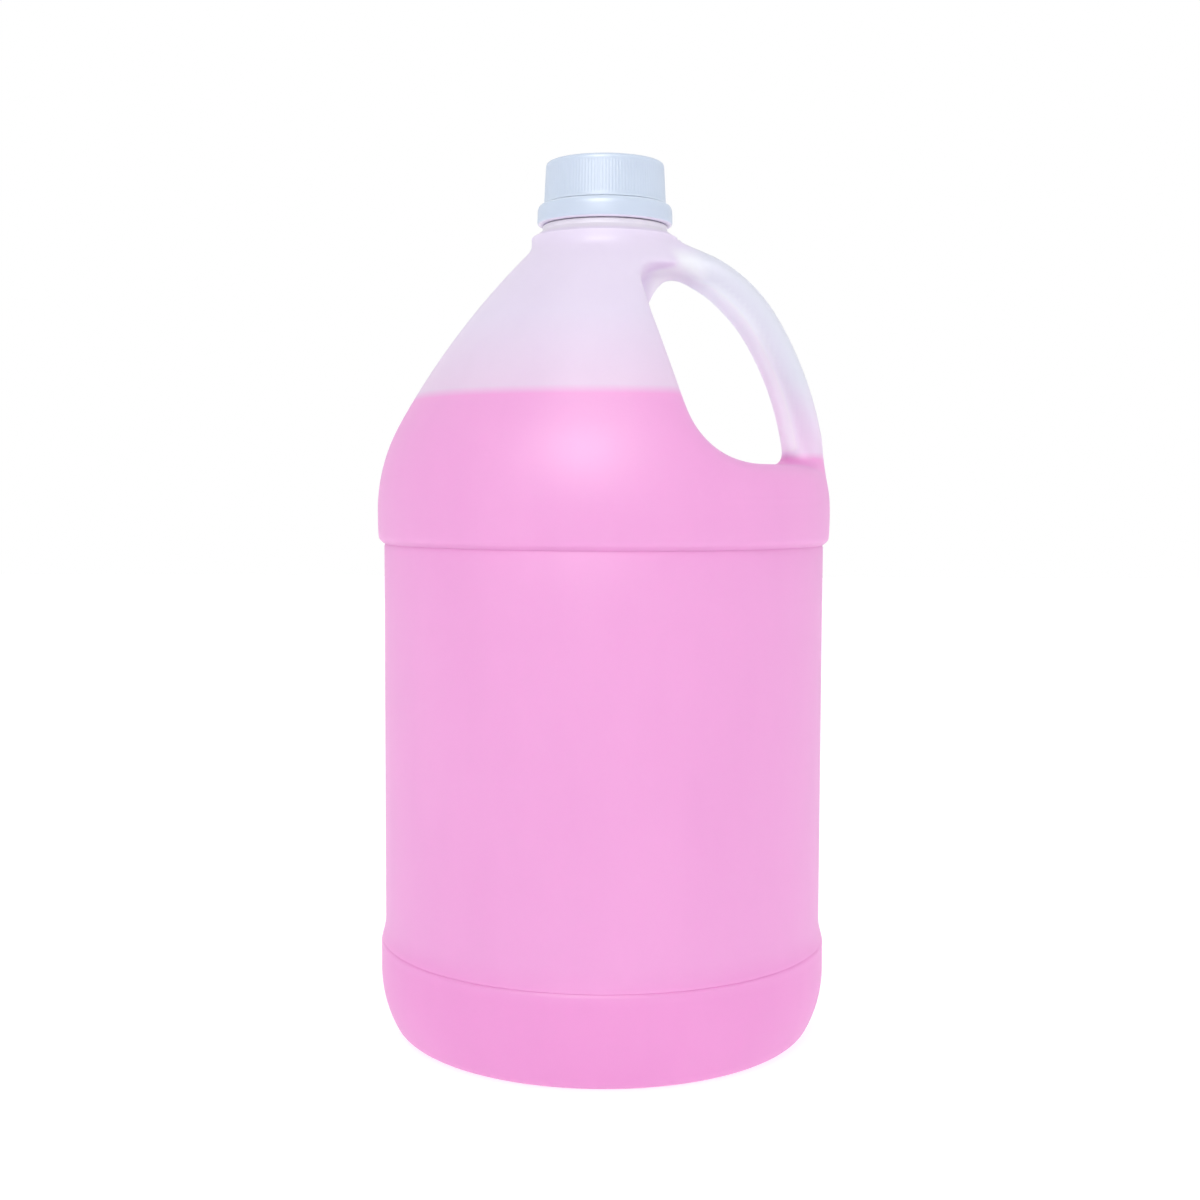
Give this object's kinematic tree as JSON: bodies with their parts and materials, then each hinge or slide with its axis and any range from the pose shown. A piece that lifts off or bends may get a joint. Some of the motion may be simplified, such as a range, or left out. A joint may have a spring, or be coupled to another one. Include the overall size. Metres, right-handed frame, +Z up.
{
  "type": "nail polish remover bottle",
  "caption": "Round handled jug in milky translucent plastic, filled with pink liquid, with a white ribbed screw cap that unscrews from a tamper band.",
  "frame": {"origin": "middle of the base, on the surface the jug stands on", "axes": "+Z up along the jug's axis, the handle lies in the XZ plane towards +X"},
  "size_m": [0.1564, 0.1564, 0.3006],
  "materials": {
    "natural_plastic": "milky translucent blown polyethylene with a soft sheen",
    "pink_liquid": "clear pink liquid",
    "white_plastic": "cool white moulded polypropylene, satin",
    "foam": "closed-cell foam"
  },
  "bodies": {
    "jug": {"bottle": "natural_plastic", "liquid": "pink_liquid", "tamper_band": "white_plastic"},
    "liner": {"liner": "foam"},
    "cap": {"cap": "white_plastic"}
  },
  "joints": [
    {"name": "cap_rise", "type": "slide", "parent": "jug", "child": "liner", "axis": [0, 0, 1], "range_m": [0, 0.0212]},
    {"name": "cap_turn", "type": "hinge", "parent": "liner", "child": "cap", "pos_m": [0, 0, 0.298], "axis": [0, 0, 1], "range_deg": [0, 1800]}
  ],
  "couplings": [
    {"joint": "cap_rise", "follows": "cap_turn", "m_per_rad": 0.00067371}
  ]
}
